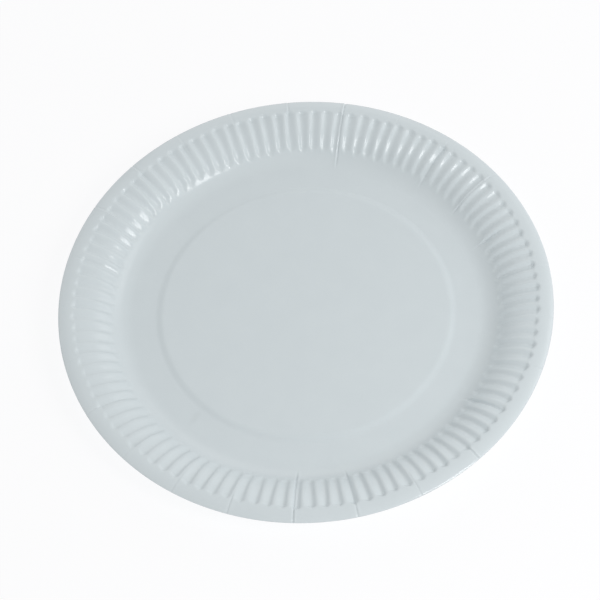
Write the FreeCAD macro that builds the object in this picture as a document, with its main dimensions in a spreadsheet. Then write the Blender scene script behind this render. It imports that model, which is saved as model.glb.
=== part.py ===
"""Round paper plate, pressed from one disc of board: raised panel, foot, fluted wall and flange.

Units are millimetres and +Z is up. The origin is the middle of the underside, on the table.
Both wall sketches stand in the XZ plane: they show the board cut through, radius across, height up.
"""
import FreeCAD, Part
import Sketcher
import math
import os

from FreeCAD import Rotation, Vector

doc = FreeCAD.newDocument("paper_plate")

# Driving dimensions. Widths are taken inwards from the cut edge of the board.
driving = {
    "plate_radius": 115.0,
    "plate_height": 13.2,          # table to the top of the flange
    "board_thickness": 0.45,
    "crest_inset": 4.8,            # cut edge to the highest circle of the flange
    "rim_arc": 11.0,               # radius in which the flange turns down to the cut edge
    "flange_width": 6.1,           # cut edge to the outer ends of the flutes
    "wall_width": 33.7,            # cut edge to the flat foot
    "cove_width": 9.3,             # foot to where the wall turns from hollow to rounded
    "flute_start": 0.4,            # from there to the inner ends of the flutes
    "flute_depth": 0.85,
    "flute_runout": 1.3,           # length over which a flute rises at each end
    "flute_count": 108,
    "flute_runs": 4,               # straight runs that follow the shoulder's arc along a flute
    "cove_runs": 3,
    "rim_runs": 2,
    "ring_width": 11.2,            # foot to the slope at the panel's edge
    "panel_slope_width": 2.6,
    "panel_rise": 0.5,             # how far the middle panel stands above the ring around it
}
sizes = doc.addObject("Spreadsheet::Sheet", "sizes")
for row, (name, number) in enumerate(driving.items(), start=1):
    sizes.set(f"A{row}", name)
    sizes.set(f"B{row}", str(number))
    sizes.setAlias(f"B{row}", name)
doc.recompute()

# Dimensions that follow from the driving ones. The wall is two arcs that meet at one slope.
derived = doc.addObject("App::VarSet", "derived")
following = {
    "foot_radius": "sizes.plate_radius - sizes.wall_width",
    "crest_radius": "sizes.plate_radius - sizes.crest_inset",
    "turn_radius": "derived.foot_radius + sizes.cove_width",
    "flute_inner": "derived.turn_radius + sizes.flute_start",
    "flute_outer": "sizes.plate_radius - sizes.flange_width",
    "floor_inner": "derived.flute_inner + sizes.flute_runout",
    "floor_outer": "derived.flute_outer - sizes.flute_runout",
    "slope_sine": "sin(2 * atan((sizes.plate_height - sizes.board_thickness)"
                  " / (derived.crest_radius - derived.foot_radius)))",
    "cove_arc": "sizes.cove_width / derived.slope_sine",
    "shoulder_arc": "(derived.crest_radius - derived.turn_radius) / derived.slope_sine",
    "slope_foot": "derived.foot_radius - sizes.ring_width",
    "panel_radius": "derived.slope_foot - sizes.panel_slope_width",
    "seam_radius": "derived.foot_radius - sizes.ring_width / 2",
}
for name, formula in following.items():
    derived.addProperty("App::PropertyFloat", name)
    derived.setExpression(name, formula)
    doc.recompute()

board = sizes.board_thickness
crest = derived.crest_radius
shoulder_arc = derived.shoulder_arc
shoulder_centre = Vector(crest, sizes.plate_height - shoulder_arc)
cove_centre = Vector(derived.foot_radius, board + derived.cove_arc)
rim_centre = Vector(crest, sizes.plate_height - sizes.rim_arc)


def on_shoulder(radius, depth):
    """Point under the shoulder's upper face at a radius, at a depth along the face's normal."""
    lean = math.asin((crest - radius) / shoulder_arc)
    return shoulder_centre + Vector(-math.sin(lean), math.cos(lean)) * (shoulder_arc - depth)


def shoulder_x(radius, depth):
    """The same point's radius, as an expression."""
    return (f"derived.crest_radius - (derived.crest_radius - {radius})"
            f" * (derived.shoulder_arc - {depth}) / derived.shoulder_arc")


def at_cut_edge(depth):
    """Point where the turned-down rim ends, at a depth under its upper face."""
    lean = math.asin(sizes.crest_inset / sizes.rim_arc)
    return rim_centre + Vector(math.sin(lean), math.cos(lean)) * (sizes.rim_arc - depth)


def pin(sketch, kind, place, formula):
    """Hold a coordinate of a point in a sketch, or an arc's radius, at a formula of the sizes."""
    value = derived.evalExpression(formula)
    held = sketch.addConstraint(Sketcher.Constraint(kind, *place, value))
    sketch.setExpression(f"Constraints[{held}]", formula)


COVE = (cove_centre, "derived.foot_radius", "sizes.board_thickness + derived.cove_arc")
SHOULDER = (shoulder_centre, "derived.crest_radius", "sizes.plate_height - derived.shoulder_arc")
RIM = (rim_centre, "derived.crest_radius", "sizes.plate_height - sizes.rim_arc")


class Outline:
    """Closed outline in a sketch, drawn edge by edge and held by constraints bound to the sizes."""

    def __init__(self, name, start):
        self.sketch = doc.addObject("Sketcher::SketchObject", name)
        self.sketch.Placement.Rotation = Rotation(Vector(1, 0, 0), 90)
        self.corner = start
        self.joints = []
        self.centres = {}
        self.numbers = {}

    def chain(self, name, number, head, tail, corner, x):
        """Join a new edge's head to the last edge's tail, and hold where its tail is."""
        if self.joints:
            last_tail = self.joints[-1][1]
            self.sketch.addConstraint(Sketcher.Constraint("Coincident", *last_tail, *head))
        self.joints.append((head, tail))
        self.numbers[name] = number
        self.corner = corner
        if x:
            pin(self.sketch, "DistanceX", tail, x)

    def line(self, name, corner, x=None, level=None):
        """Straight edge from the last corner to the next."""
        number = self.sketch.addGeometry(Part.LineSegment(self.corner, corner))
        self.chain(name, number, (number, 1), (number, 2), corner, x)
        if level:
            self.sketch.addConstraint(Sketcher.Constraint(level, number))

    def arc(self, name, corner, about, x, radius=None):
        """Shorter arc from the last corner to the next; arcs about one centre share it."""
        centre, centre_x, centre_y = about
        circle = Part.Circle(centre, Vector(0, 0, 1), (corner - centre).Length)
        begin = circle.parameter(self.corner)
        end = circle.parameter(corner)
        if (end - begin) % (2 * math.pi) < math.pi:
            number = self.sketch.addGeometry(Part.ArcOfCircle(circle, begin, end))
            head, tail = (number, 1), (number, 2)
        else:
            number = self.sketch.addGeometry(Part.ArcOfCircle(circle, end, begin))
            head, tail = (number, 2), (number, 1)
        if centre_y in self.centres:
            shared = self.centres[centre_y]
            self.sketch.addConstraint(Sketcher.Constraint("Coincident", shared, 3, number, 3))
        else:
            pin(self.sketch, "DistanceX", (number, 3), centre_x)
            pin(self.sketch, "DistanceY", (number, 3), centre_y)
            self.centres[centre_y] = number
        if radius:
            pin(self.sketch, "Radius", (number,), radius)
        self.chain(name, number, head, tail, corner, x)

    def close(self, x):
        """Join the last edge to the first, whose head is at x."""
        first_head = self.joints[0][0]
        last_tail = self.joints[-1][1]
        self.sketch.addConstraint(Sketcher.Constraint("Coincident", *last_tail, *first_head))
        pin(self.sketch, "DistanceX", first_head, x)
        doc.recompute()

    def edge(self, name):
        """One edge of the outline, in the plate's own frame."""
        shape = self.sketch.Geometry[self.numbers[name]].toShape()
        shape.Placement = self.sketch.Placement
        return shape


def wall_at_ridge():
    """The board cut through along a ridge between two flutes: its faces are smooth arcs."""
    lower = "sizes.board_thickness"
    seam = derived.seam_radius
    foot = derived.foot_radius
    turn = derived.turn_radius
    inner = derived.flute_inner
    outer = derived.flute_outer
    outline = Outline("wall_at_ridge", Vector(seam, board))
    outline.line("ring_top", Vector(foot, board), x="derived.foot_radius", level="Horizontal")
    outline.arc("cove_top", on_shoulder(turn, 0), COVE, x="derived.turn_radius",
                radius="derived.cove_arc")
    outline.arc("turn_top", on_shoulder(inner, 0), SHOULDER, x="derived.flute_inner")
    outline.arc("flute_top", on_shoulder(outer, 0), SHOULDER, x="derived.flute_outer")
    outline.arc("flange_top", on_shoulder(crest, 0), SHOULDER, x="derived.crest_radius")
    outline.arc("rim_top", at_cut_edge(0), RIM, x="sizes.plate_radius")
    outline.line("cut_edge", at_cut_edge(board),
                 x=f"sizes.plate_radius - sizes.crest_inset * {lower} / sizes.rim_arc")
    outline.arc("rim_under", on_shoulder(crest, board), RIM, x="derived.crest_radius")
    outline.arc("flange_under", on_shoulder(outer, board), SHOULDER,
                x=shoulder_x("derived.flute_outer", lower),
                radius="derived.shoulder_arc - sizes.board_thickness")
    outline.arc("flute_under", on_shoulder(inner, board), SHOULDER,
                x=shoulder_x("derived.flute_inner", lower))
    outline.arc("turn_under", on_shoulder(turn, board), SHOULDER,
                x=shoulder_x("derived.turn_radius", lower))
    outline.arc("cove_under", Vector(foot, 0), COVE, x="derived.foot_radius")
    outline.line("ring_under", Vector(seam, 0), level="Horizontal")
    outline.line("seam", Vector(seam, board), level="Vertical")
    outline.close(x="derived.seam_radius")
    return outline


def wall_at_groove():
    """The board cut through along the floor of a flute, between the two run-outs."""
    inner = derived.floor_inner
    outer = derived.floor_outer
    upper = sizes.flute_depth
    lower = sizes.flute_depth + board
    under = "(sizes.flute_depth + sizes.board_thickness)"
    outline = Outline("wall_at_groove", on_shoulder(inner, upper))
    outline.arc("flute_top", on_shoulder(outer, upper), SHOULDER,
                x=shoulder_x("derived.floor_outer", "sizes.flute_depth"),
                radius="derived.shoulder_arc - sizes.flute_depth")
    outline.line("outer_end", on_shoulder(outer, lower), x=shoulder_x("derived.floor_outer", under))
    outline.arc("flute_under", on_shoulder(inner, lower), SHOULDER,
                x=shoulder_x("derived.floor_inner", under),
                radius=f"derived.shoulder_arc - {under}")
    outline.line("inner_end", on_shoulder(inner, upper))
    outline.close(x=shoulder_x("derived.floor_inner", "sizes.flute_depth"))
    return outline


def turned(shape, angle):
    """Copy of a shape, turned about the plate's axis."""
    copy = shape.copy()
    copy.rotate(Vector(), Vector(0, 0, 1), angle)
    return copy


def quad(first, second, third, fourth):
    """Flat four-cornered face."""
    return Part.Face(Part.makePolygon([first, second, third, fourth, first]))


def smooth_strip(edge, runs, half_pitch):
    """Flat facets along an edge of the ridge sketch, from one ridge to the next."""
    left = turned(edge, -half_pitch).discretize(runs + 1)
    right = turned(edge, half_pitch).discretize(runs + 1)
    return [quad(left[run], right[run], right[run + 1], left[run + 1]) for run in range(runs)]


def flute(crest_edge, floor_edge, runs, half_pitch):
    """Both sides of a flute, from its ridges down to its floor, and the facet at each end."""
    floor = floor_edge.discretize(runs + 1)
    ridges = [turned(crest_edge, angle).discretize(runs + 1) for angle in (-half_pitch, half_pitch)]
    faces = []
    for ridge in ridges:
        for run in range(runs):
            ridge_run = Part.makeLine(ridge[run], ridge[run + 1])
            floor_run = Part.makeLine(floor[run], floor[run + 1])
            faces.append(Part.makeRuledSurface(ridge_run, floor_run))
    for end in (0, runs):
        corners = [ridges[0][end], ridges[1][end], floor[end]]
        faces.append(Part.Face(Part.makePolygon(corners + corners[:1])))
    return faces


def flat_ring(level, pitch):
    """One face of the flat board between the seam and the foot, where the wall's facets begin."""
    corner = Vector(derived.foot_radius, 0, level)
    count = round(360 / pitch)
    corners = [Rotation(Vector(0, 0, 1), pitch * (number + 0.5)) * corner for number in range(count)]
    outer = Part.makePolygon(corners + corners[:1])
    inner = Part.Wire(Part.makeCircle(derived.seam_radius, Vector(0, 0, level)))
    return Part.makeFace([outer, inner], "Part::FaceMakerBullseye")


def seam_wall():
    """Upright inner face of the ring, where the panel meets it."""
    return Part.makeCircle(derived.seam_radius).extrude(Vector(0, 0, board))


def fluted_ring():
    """Ring of board from the panel's seam out to the cut edge, with the flutes in its wall."""
    ridge = wall_at_ridge()
    groove = wall_at_groove()
    count = round(sizes.flute_count)
    flute_runs = round(sizes.flute_runs)
    pitch = 360 / count
    smooth_runs = {"cove": round(sizes.cove_runs), "turn": 1, "flange": 1, "rim": round(sizes.rim_runs)}
    one_slice = smooth_strip(ridge.edge("cut_edge"), 1, pitch / 2)
    for side in ("top", "under"):
        for name, runs in smooth_runs.items():
            one_slice += smooth_strip(ridge.edge(f"{name}_{side}"), runs, pitch / 2)
        crest_edge = ridge.edge(f"flute_{side}")
        floor_edge = groove.edge(f"flute_{side}")
        one_slice += flute(crest_edge, floor_edge, flute_runs, pitch / 2)
    faces = [flat_ring(0, pitch), flat_ring(board, pitch), seam_wall()]
    faces += [turned(face, pitch * number) for number in range(count) for face in one_slice]
    skin = Part.makeCompound(faces)
    skin.sewShape()
    ring = doc.addObject("Part::Feature", "fluted_ring")
    ring.Shape = Part.Solid(skin.Shells[0])
    return ring


def panel():
    """Middle of the plate: the raised panel and the slope down to the flat ring."""
    body = doc.addObject("PartDesign::Body", "panel")
    sketch = body.newObject("Sketcher::SketchObject", "panel_section")
    plane = next(item for item in body.Origin.OriginFeatures if item.Role == "XZ_Plane")
    sketch.AttachmentSupport = [(plane, "")]
    sketch.MapMode = "FlatFace"
    rise = "sizes.panel_rise"
    top = "sizes.board_thickness"
    corners = [
        (None, rise),
        ("derived.panel_radius", rise),
        ("derived.slope_foot", None),
        ("derived.seam_radius", None),
        ("derived.seam_radius", top),
        ("derived.slope_foot", top),
        ("derived.panel_radius", f"{rise} + {top}"),
        (None, f"{rise} + {top}"),
    ]
    points = [Vector(*(derived.evalExpression(formula) if formula else 0 for formula in corner))
              for corner in corners]
    for number, point in enumerate(points):
        sketch.addGeometry(Part.LineSegment(point, points[(number + 1) % len(points)]))
    for number, (x, y) in enumerate(corners):
        next_edge = (number + 1) % len(corners)
        sketch.addConstraint(Sketcher.Constraint("Coincident", number, 2, next_edge, 1))
        # A coordinate with no formula lies on an axis: edge -2 of a sketch is upright, edge -1 level.
        for kind, formula, axis in (("DistanceX", x, -2), ("DistanceY", y, -1)):
            if formula:
                pin(sketch, kind, (number, 1), formula)
            else:
                sketch.addConstraint(Sketcher.Constraint("PointOnObject", number, 1, axis))
    revolution = body.newObject("PartDesign::Revolution", "panel_turned")
    revolution.Profile = sketch
    revolution.ReferenceAxis = (sketch, ["V_Axis"])
    revolution.Angle = 360
    doc.recompute()
    return body


panel_body = panel()
wall_ring = fluted_ring()
plate = doc.addObject("Part::Fuse", "plate")
plate.Base = panel_body
plate.Tool = wall_ring
plate.Refine = False
plate.Label = "plate"
doc.recompute()

for item in doc.Objects:
    if "Invalid" in item.State or "Error" in item.State:
        raise RuntimeError(f"{item.Name} failed: {item.State}")
shape = plate.Shape
if shape.isNull() or not shape.isValid() or len(shape.Solids) != 1:
    raise RuntimeError("the plate isn't one sound solid")

os.makedirs("parts", exist_ok=True)
shape.Solids[0].exportStep("parts/plate.step")
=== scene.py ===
"""Paper plate in a pale studio: the pressed board with its flutes and creases, floor, lights, camera.

The plate's sizes are in millimetres, and MM turns them into metres. Angles in the named values are in
degrees, and in the functions that shape the board in radians. They run counter-clockwise from the plate's
right-hand side as seen from above.
"""

import math

import bpy
import numpy as np
from mathutils import Matrix, Vector


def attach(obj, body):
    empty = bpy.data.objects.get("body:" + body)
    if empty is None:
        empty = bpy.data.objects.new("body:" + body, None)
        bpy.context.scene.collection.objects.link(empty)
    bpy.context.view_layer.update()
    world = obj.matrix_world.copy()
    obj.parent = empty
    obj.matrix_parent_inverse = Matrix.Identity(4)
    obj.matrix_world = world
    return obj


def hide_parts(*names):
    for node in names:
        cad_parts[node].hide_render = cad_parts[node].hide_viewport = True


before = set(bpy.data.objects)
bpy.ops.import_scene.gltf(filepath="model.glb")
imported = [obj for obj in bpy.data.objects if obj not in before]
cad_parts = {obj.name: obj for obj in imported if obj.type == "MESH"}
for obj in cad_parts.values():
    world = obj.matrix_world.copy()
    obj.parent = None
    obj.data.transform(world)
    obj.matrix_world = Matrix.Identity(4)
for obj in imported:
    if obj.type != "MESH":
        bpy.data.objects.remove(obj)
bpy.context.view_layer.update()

MM = 0.001

# The board, as its solid has it, except that the solid's cove ends 0.4 mm further in.
PLATE_RADIUS = 115.0
PLATE_HEIGHT = 13.2
BOARD = 0.45                       # thickness
CREST_RADIUS = 110.2               # the highest ring
RIM_ARC = 11.0                     # radius of the arc by which the flange turns down outside the crest
FOOT_RADIUS = 81.3                 # the flat foot ring ends here, and the hollow cove begins
TURN_RADIUS = 91.0                 # the cove ends here, and the rounded shoulder begins
STEEPEST = 0.99                    # sine at which an arc is cut off, steeper than any slope in use

# The raised panel in the middle. Its step is a little higher and wider than the solid's.
PANEL_RADIUS = 66.9
PANEL_FOOT_RADIUS = 71.1
PANEL_RISE = 0.9

# The flutes, as many as the solid has and a little deeper.
FLUTE_COUNT = 108
FLUTE_DEPTH = 1.15
FLUTE_DEPTH_RADIUS = 100           # where a flute has that depth
FLUTE_GROWTH = 0.03                # share by which it deepens with each millimetre outwards
STEEP_SHARE = 0.38                 # share of the pitch from a flute's floor to the ridge on its steep side
FLUTE_OUTER_RADIUS = 107.0         # where a flute's floor starts to rise towards its outer end
FLUTE_OUTER_RUN = 2.3              # and the length over which it rises
FLUTE_INNER_RADIUS = 92.2          # the same for its inner end
FLUTE_INNER_RUN = 2.8
END_POINT = 1.4                    # 2 makes the ends round in plan, 1 makes them pointed

# Differences between flutes.
DEPTH_SPREAD = 0.13                # most by which the depth differs, as a share of it
END_SPREAD = 0.45                  # most by which an end lies further in or out
DEPTH_SEED = 8
OUTER_SEED = 3
INNER_SEED = 5
WANDER = 0.05                      # most by which a flute strays sideways, as a share of the pitch
WANDER_OUTWARDS = 0.19             # radians of its wave in each millimetre outwards
WANDER_AROUND = 37                 # its waves around the plate
WANDER_GROUPS = 11                 # waves around the plate by which it grows and fades
SIDE_SHIFT = 0.09                  # share of the pitch by which the ring of flutes sits to one side
SHALLOW_ANGLE = 205                # the flutes are shallower near this angle,
SHALLOW_SHARE = 0.4                # by this share of their depth,
SHALLOW_POWER = 4                  # and a higher power narrows that stretch

# Radial creases where the flat disc gathered as it was pressed: angle, inner and outer radius, depth.
CREASES = (
    (2.3, 95, 115, 0.07), (16.7, 86, 98, 0.26), (31.4, 87, 110, 0.26), (46.3, 86, 110, 0.16),
    (60.8, 95, 115, 0.08), (75.2, 84, 115, 0.36), (89.6, 106, 115, 0.18), (104.3, 100, 115, 0.10),
    (118.8, 100, 115, 0.10), (132.8, 100, 115, 0.20), (147.3, 100, 115, 0.20), (162.7, 88, 110, 0.12),
    (176.7, 100, 115, 0.06), (191.7, 98, 115, 0.07), (206.7, 93, 112, 0.16), (220.8, 98, 115, 0.08),
    (234.8, 98, 115, 0.10), (248.2, 104, 115, 0.20), (262.8, 85, 115, 0.40), (276.9, 87, 115, 0.22),
    (291.6, 100, 115, 0.14), (307.0, 106, 115, 0.35), (320.3, 88, 105, 0.40), (334.0, 98, 115, 0.07),
    (348.0, 98, 115, 0.07),
)
CREASE_WIDTH = 0.38                # half width of a crease's line
CREASE_FADE = 3                    # length over which a crease fades at either end
CREASE_LIP = 0.5                   # height of the lip beside a crease, as a share of the crease's depth
LIP_PLACE = 2.2                    # and its distance from the crease, in half widths

# The mesh. Its rings are evenly spaced between these radii, in as many steps as each face has there.
# Close rings follow the panel's step, the flutes' inner ends (89.0 to 92.6) and their outer ends.
RING_RADII = (
    66.0, PANEL_RADIUS, PANEL_FOOT_RADIUS, FOOT_RADIUS, 89.0, 92.6, 106.0, CREST_RADIUS, PLATE_RADIUS,
)
TOP_STEPS = (1, 6, 2, 6, 9, 9, 10, 6)
UNDER_STEPS = (1, 2, 2, 4, 5, 6, 6, 4)
FLUTE_SAMPLES = 10                 # meridians for each flute
CREASE_SAMPLES = (-0.39, -0.26, -0.13, 0.0, 0.13, 0.26, 0.39, 0.52)
CREASE_CLEARANCE = 0.6             # the flutes' meridians keep this many degrees from a crease
EDGE_ROUNDING = 0.06
EDGE_BANDS = 3                     # bands of faces on the cut edge

COAT_LIGHTER = (0.766, 0.836, 0.862, 1)
COAT_DARKER = (0.748, 0.818, 0.845, 1)
COAT_ROUGHNESS = (0.15, 0.21)
FIBRE_SHARE = 0.5                  # how far the darkest fibres go towards the darker coat
WAVE_HEIGHT = 0.16
GRAIN_HEIGHT = 0.008
# Colours of the cut edge's raw fibres, darkened further as painted shade against the light the floor's
# glow throws on the edge.
EDGE_SHADED_LIGHTER = (0.58, 0.62, 0.63, 1)
EDGE_SHADED_DARKER = (0.44, 0.47, 0.48, 1)
EDGE_ROUGHNESS = 0.9
EDGE_FIBRE_HEIGHT = 0.04

# A small speck and a faint darker patch on the coat: place, angle, length over width, radius, strength.
# The speck's place is 0.4 mm below the panel's face, so the speck is faint.
MARKS = (
    ((-15.2, 20.7, 0.95), 0, 1.0, 0.45, 0.7),
    ((-54.8, -52.1, 0.45), 50, 2.4, 2.2, 0.06),
)
MARK_COLOUR = (0.30, 0.31, 0.31, 1)
MARK_CORE = 0.3                    # share of a mark's radius within which it has its full strength

# The floor and the lights, in metres, degrees and watts. The floor's own glow keeps it pale.
FLOOR_HALF = 3.0
FLOOR_COLOUR = (0.17, 0.17, 0.173, 1)
FLOOR_GLOW = (0.995, 0.995, 1, 1)
FLOOR_GLOW_STRENGTH = 0.85
WORLD_STRENGTH = 0.54
LOW_LIGHTS = ((45, 0.45), (90, 0.85), (135, 0.4), (225, 0.3))      # azimuth and watts
PHOTO_SIDE = 600                   # pixels


def wall_slope():
    """Sine of the slope where the hollow foot of the wall meets its rounded shoulder."""
    rise = PLATE_HEIGHT - BOARD
    return math.sin(2 * math.atan(rise / (CREST_RADIUS - FOOT_RADIUS)))


COVE_ARC = (TURN_RADIUS - FOOT_RADIUS) / wall_slope()
SHOULDER_ARC = (CREST_RADIUS - TURN_RADIUS) / wall_slope()


def upper_face(radius):
    """Height of the board's upper face at a ridge, and the sine of its slope, at each radius."""
    step = np.clip((radius - PANEL_RADIUS) / (PANEL_FOOT_RADIUS - PANEL_RADIUS), 0, 1)
    height = BOARD + PANEL_RISE * (0.5 + 0.5 * np.cos(np.pi * step))
    sine = np.zeros_like(radius)
    in_cove = (radius > FOOT_RADIUS) & (radius <= TURN_RADIUS)
    cove_sine = np.clip((radius - FOOT_RADIUS) / COVE_ARC, 0, STEEPEST)
    height = np.where(in_cove, BOARD + COVE_ARC * (1 - np.sqrt(1 - cove_sine ** 2)), height)
    sine = np.where(in_cove, cove_sine, sine)
    crowns = ((TURN_RADIUS, CREST_RADIUS, SHOULDER_ARC), (CREST_RADIUS, math.inf, RIM_ARC))
    for inner, outer, arc in crowns:
        here = (radius > inner) & (radius <= outer)
        lean = np.clip((CREST_RADIUS - radius) / arc, -STEEPEST, STEEPEST)
        height = np.where(here, PLATE_HEIGHT - arc * (1 - np.sqrt(1 - lean ** 2)), height)
        sine = np.where(here, lean, sine)
    return height, sine


def unevenness(angle, seed):
    """Chance difference of each flute from the rest, the same across the flute, from -1 to 1."""
    differences = np.random.default_rng(seed).uniform(-1, 1, FLUTE_COUNT)
    nearest = np.round(np.degrees(angle) * FLUTE_COUNT / 360).astype(int) % FLUTE_COUNT
    return differences[nearest]


def flute_places(angle, radius):
    """Where each point lies in its flute's pitch: 0 and 1 are the floors of neighbouring flutes."""
    turns = np.degrees(angle) * FLUTE_COUNT / 360
    turns = turns + SIDE_SHIFT * np.sin(angle)
    wave = np.sin(radius * WANDER_OUTWARDS + angle * WANDER_AROUND)
    turns = turns + WANDER * wave * np.sin(angle * WANDER_GROUPS)
    return turns - np.floor(turns)


def flute_depths(angle, radius):
    """How far the flutes push the board down along its normal."""
    place = flute_places(angle, radius)
    steep = place / STEEP_SHARE
    gentle = (1 - place) / (1 - STEEP_SHARE)
    across = np.minimum(steep, gentle)
    outer_start = FLUTE_OUTER_RADIUS + END_SPREAD * unevenness(angle, OUTER_SEED)
    inner_start = FLUTE_INNER_RADIUS + END_SPREAD * unevenness(angle, INNER_SEED)
    beyond_outer = np.clip(radius - outer_start, 0, None) / FLUTE_OUTER_RUN
    beyond_inner = np.clip(inner_start - radius, 0, None) / FLUTE_INNER_RUN
    total = across ** END_POINT + beyond_outer ** END_POINT + beyond_inner ** END_POINT
    away = np.clip(total ** (1 / END_POINT), 0, 1)
    depth = FLUTE_DEPTH * (1 + DEPTH_SPREAD * unevenness(angle, DEPTH_SEED))
    depth = depth * (1 + FLUTE_GROWTH * (radius - FLUTE_DEPTH_RADIUS))
    facing = 0.5 + 0.5 * np.cos(angle - np.radians(SHALLOW_ANGLE))
    depth = depth * (1 - SHALLOW_SHARE * facing ** SHALLOW_POWER)
    return depth * (0.5 + 0.5 * np.cos(np.pi * away))


def crease_depths(angle, radius):
    """How far the creases push the board down, with a thin lip beside each."""
    depth = np.zeros_like(radius + angle)
    for degrees, inner, outer, deep in CREASES:
        turn = (np.degrees(angle) - degrees + 180) % 360 - 180
        across = np.radians(turn) * radius / CREASE_WIDTH
        start = np.clip((radius - inner) / CREASE_FADE, 0, 1)
        end = np.clip((outer + CREASE_FADE - radius) / CREASE_FADE, 0, 1)
        line = np.exp(-across ** 2) - CREASE_LIP * np.exp(-(across - LIP_PLACE) ** 2)
        depth += deep * (start * end) * line
    return depth


def around():
    """Angles of the mesh's meridians: even across each side of a flute, close together at the creases."""
    steep = np.linspace(0, STEEP_SHARE, FLUTE_SAMPLES // 2, endpoint=False)
    gentle = np.linspace(STEEP_SHARE, 1, FLUTE_SAMPLES // 2, endpoint=False)
    shares = np.concatenate([steep, gentle])
    even = ((np.arange(FLUTE_COUNT)[:, None] + shares[None, :]) * 360 / FLUTE_COUNT).ravel()
    creases = np.array([row[0] for row in CREASES])
    nearest = np.abs((even[:, None] - creases[None, :] + 180) % 360 - 180).min(axis=1)
    kept = even[nearest > CREASE_CLEARANCE]
    fine = (creases[:, None] + np.array(CREASE_SAMPLES)[None, :]).ravel()
    return np.radians(np.sort(np.concatenate([kept, fine % 360])))


def rings(steps):
    """Radii of a face's rings from the middle outwards, without the last of RING_RADII."""
    spans = zip(RING_RADII, RING_RADII[1:], steps)
    return np.concatenate([np.linspace(start, end, count, endpoint=False) for start, end, count in spans])


def face_points(angles, radii, under):
    """Points of one face of the board, ring by ring; under is how far below the upper face it lies."""
    angle, radius = np.meshgrid(angles, radii)
    height, sine = upper_face(radius)
    depth = flute_depths(angle, radius) + crease_depths(angle, radius) + under
    across = radius + sine * depth
    up = height - depth * np.sqrt(1 - sine ** 2)
    return np.stack([across * np.cos(angle), across * np.sin(angle), up], axis=-1)


def plate_mesh():
    """The board as one closed mesh: upper face, cut edge and underside."""
    angles = around()
    count = len(angles)
    top_radii = rings(TOP_STEPS)
    under_radii = rings(UNDER_STEPS)
    top = face_points(angles, top_radii, 0.0)
    # The cut edge: four rings, with a slight rounding where it meets either face.
    rim_top = face_points(angles, np.array([PLATE_RADIUS - EDGE_ROUNDING]), 0.0)
    rim_upper = face_points(angles, np.array([PLATE_RADIUS]), EDGE_ROUNDING)
    rim_lower = face_points(angles, np.array([PLATE_RADIUS]), BOARD - EDGE_ROUNDING)
    rim_under = face_points(angles, np.array([PLATE_RADIUS - EDGE_ROUNDING]), BOARD)
    under = face_points(angles, under_radii[::-1], BOARD)
    levels = np.concatenate([top, rim_top, rim_upper, rim_lower, rim_under, under])
    level_count = len(levels)
    points = levels.reshape(-1, 3)
    here = np.arange(count)
    following = (here + 1) % count
    quads = []
    for level in range(level_count - 1):
        low = level * count
        high = low + count
        quads.append(np.stack([low + here, high + here, high + following, low + following], axis=1))
    faces = np.concatenate(quads)
    last = (level_count - 1) * count
    top_middle = len(points)
    under_middle = top_middle + 1
    middle_height = BOARD + PANEL_RISE
    points = np.concatenate([points, [[0, 0, middle_height], [0, 0, PANEL_RISE]]])
    fans = [(top_middle, int(a), int(b)) for a, b in zip(here, following)]
    fans += [(under_middle, int(last + b), int(last + a)) for a, b in zip(here, following)]
    mesh = bpy.data.meshes.new("plate_board")
    mesh.from_pydata((points * MM).tolist(), [], faces.tolist() + fans)
    mesh.validate()
    mesh.shade_smooth()
    # The cut edge has the board's second material.
    edge_start = len(top_radii) * count
    for number in range(edge_start, edge_start + EDGE_BANDS * count):
        mesh.polygons[number].material_index = 1
    return mesh


def noise(tree, scale, detail):
    """Cloudy noise fixed to the plate, with its scale in features per metre."""
    place = tree.nodes.new("ShaderNodeTexCoord")
    cloud = tree.nodes.new("ShaderNodeTexNoise")
    cloud.inputs["Scale"].default_value = scale
    cloud.inputs["Detail"].default_value = detail
    tree.links.new(place.outputs["Object"], cloud.inputs["Vector"])
    return cloud.outputs["Fac"]


def spread(tree, source, lowest, highest, start=0.3, end=0.7):
    """Stretch a value from start and end to lowest and highest."""
    stretch = tree.nodes.new("ShaderNodeMapRange")
    stretch.inputs["From Min"].default_value = start
    stretch.inputs["From Max"].default_value = end
    stretch.inputs["To Min"].default_value = lowest
    stretch.inputs["To Max"].default_value = highest
    tree.links.new(source, stretch.inputs["Value"])
    return stretch.outputs["Result"]


def blended(tree, share, first, second):
    """Colour between two colours; the first may be the output of another blend."""
    mix = tree.nodes.new("ShaderNodeMix")
    mix.data_type = "RGBA"
    tree.links.new(share, mix.inputs["Factor"])
    if isinstance(first, tuple):
        mix.inputs["A"].default_value = first
    else:
        tree.links.new(first, mix.inputs["A"])
    mix.inputs["B"].default_value = second
    return mix.outputs["Result"]


def nearness(tree, place, turn, stretch, radius, strength):
    """Strength at a place on the plate, and nothing beyond a radius from it."""
    here = tree.nodes.new("ShaderNodeTexCoord")
    shift = tree.nodes.new("ShaderNodeMapping")
    shift.vector_type = "TEXTURE"
    shift.inputs["Location"].default_value = Vector(place) * MM
    shift.inputs["Rotation"].default_value = (0, 0, math.radians(turn))
    shift.inputs["Scale"].default_value = (stretch, 1, 1)
    far = tree.nodes.new("ShaderNodeVectorMath")
    far.operation = "LENGTH"
    tree.links.new(here.outputs["Object"], shift.inputs["Vector"])
    tree.links.new(shift.outputs["Vector"], far.inputs[0])
    return spread(tree, far.outputs["Value"], strength, 0, MARK_CORE * radius * MM, radius * MM)


def bumped(tree, shader, layers):
    """Raise the surface by layers of (height, depth in millimetres)."""
    last = None
    for height, depth in layers:
        bump = tree.nodes.new("ShaderNodeBump")
        bump.inputs["Distance"].default_value = depth * MM
        tree.links.new(height, bump.inputs["Height"])
        if last:
            tree.links.new(last, bump.inputs["Normal"])
        last = bump.outputs["Normal"]
    tree.links.new(last, shader.inputs["Normal"])


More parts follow.
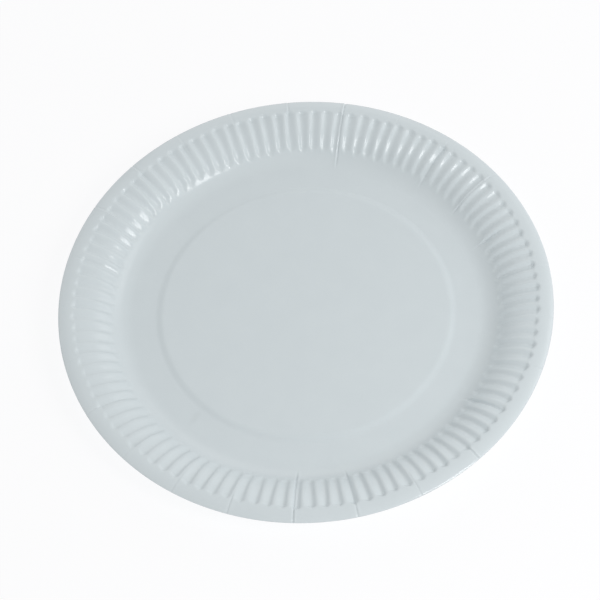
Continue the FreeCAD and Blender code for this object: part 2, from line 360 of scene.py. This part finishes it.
def coated_board():
    """White board with a thin glossy coat: soft sheen, faint fibre and mottle, a speck and a faint darker
    patch.
    """
    material = bpy.data.materials.new("coated_board")
    material.use_nodes = True
    tree = material.node_tree
    shader = tree.nodes["Principled BSDF"]
    shader.inputs["IOR"].default_value = 1.5
    mottle = noise(tree, scale=70, detail=4)
    colour = blended(tree, spread(tree, mottle, 0, 1), COAT_DARKER, COAT_LIGHTER)
    fibre = noise(tree, scale=900, detail=5)
    colour = blended(tree, spread(tree, fibre, 0, FIBRE_SHARE), colour, COAT_DARKER)
    for mark in MARKS:
        colour = blended(tree, nearness(tree, *mark), colour, MARK_COLOUR)
    tree.links.new(colour, shader.inputs["Base Color"])
    sheen = noise(tree, scale=160, detail=5)
    tree.links.new(spread(tree, sheen, *COAT_ROUGHNESS), shader.inputs["Roughness"])
    waves = noise(tree, scale=45, detail=2)
    grain = noise(tree, scale=700, detail=5)
    bumped(tree, shader, [(waves, WAVE_HEIGHT), (grain, GRAIN_HEIGHT)])
    return material


def raw_edge():
    """Cut edge of the board, where its uncoated fibres show, in colours darkened further as painted shade.
    """
    material = bpy.data.materials.new("raw_edge")
    material.use_nodes = True
    tree = material.node_tree
    shader = tree.nodes["Principled BSDF"]
    shader.inputs["Roughness"].default_value = EDGE_ROUGHNESS
    fibres = noise(tree, scale=2600, detail=6)
    colour = blended(tree, spread(tree, fibres, 0, 1), EDGE_SHADED_DARKER, EDGE_SHADED_LIGHTER)
    tree.links.new(colour, shader.inputs["Base Color"])
    bumped(tree, shader, [(fibres, EDGE_FIBRE_HEIGHT)])
    return material


def plate():
    """The dressed board, which stands for the solid plate."""
    board = bpy.data.objects.new("plate_board", plate_mesh())
    bpy.context.scene.collection.objects.link(board)
    board.data.materials.append(coated_board())
    board.data.materials.append(raw_edge())
    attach(board, "root")
    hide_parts("plate")


def floor():
    """Plain pale floor."""
    mesh = bpy.data.meshes.new("floor")
    half = FLOOR_HALF
    corners = [(-half, -half, 0), (half, -half, 0), (half, half, 0), (-half, half, 0)]
    mesh.from_pydata(corners, [], [(0, 1, 2, 3)])
    ground = bpy.data.objects.new("floor", mesh)
    bpy.context.scene.collection.objects.link(ground)
    material = bpy.data.materials.new("pale_floor")
    material.use_nodes = True
    shader = material.node_tree.nodes["Principled BSDF"]
    shader.inputs["Base Color"].default_value = FLOOR_COLOUR
    shader.inputs["Emission Color"].default_value = FLOOR_GLOW
    shader.inputs["Emission Strength"].default_value = FLOOR_GLOW_STRENGTH
    shader.inputs["Roughness"].default_value = 1.0
    shader.inputs["Specular IOR Level"].default_value = 0.0
    mesh.materials.append(material)


def soft_light(name, azimuth, elevation, distance, width, height, watts):
    """Rectangular soft light that faces the plate."""
    data = bpy.data.lights.new(name, "AREA")
    data.shape = "RECTANGLE"
    data.size = width
    data.size_y = height
    data.energy = watts
    lamp = bpy.data.objects.new(name, data)
    bpy.context.scene.collection.objects.link(lamp)
    turn = math.radians(azimuth)
    rise = math.radians(elevation)
    level = math.cos(rise)
    direction = Vector((level * math.cos(turn), level * math.sin(turn), math.sin(rise)))
    lamp.location = direction * distance
    lamp.rotation_euler = (-direction).to_track_quat("-Z", "Y").to_euler()


def studio():
    """Even surroundings, a key light at the front right, a side light and a low ring of weak ones."""
    world = bpy.data.worlds.new("studio")
    world.use_nodes = True
    background = world.node_tree.nodes["Background"]
    background.inputs["Color"].default_value = (1, 1, 1, 1)
    background.inputs["Strength"].default_value = WORLD_STRENGTH
    bpy.context.scene.world = world
    soft_light("key", azimuth=320, elevation=40, distance=0.85, width=0.22, height=0.42, watts=1.9)
    soft_light("side", azimuth=14, elevation=33, distance=1.2, width=0.6, height=0.6, watts=1.1)
    for azimuth, watts in LOW_LIGHTS:
        name = f"low_{azimuth}"
        soft_light(name, azimuth, elevation=22, distance=1.2, width=0.8, height=0.8, watts=watts)
    bpy.context.scene.view_settings.view_transform = "Standard"


def camera():
    """Camera at the photograph's angle: above the front, rolled a little clockwise."""
    azimuth = math.radians(-0.7)
    elevation = math.radians(58.206)
    roll = math.radians(4.647)
    distance = 0.82
    data = bpy.data.cameras.new("camera")
    data.sensor_width = 36.0
    data.lens = 104.53
    data.shift_x = -5.82 / PHOTO_SIDE
    data.shift_y = 10.47 / PHOTO_SIDE
    eye = bpy.data.objects.new("camera", data)
    bpy.context.scene.collection.objects.link(eye)
    turn = Matrix.Rotation(azimuth, 4, "Z")
    place = Matrix.Translation(Vector((0, -math.cos(elevation), math.sin(elevation))) * distance)
    tilt = Matrix.Rotation(math.pi / 2 - elevation, 4, "X")
    eye.matrix_world = turn @ place @ tilt @ Matrix.Rotation(-roll, 4, "Z")
    bpy.context.scene.camera = eye


camera()
plate()
floor()
studio()
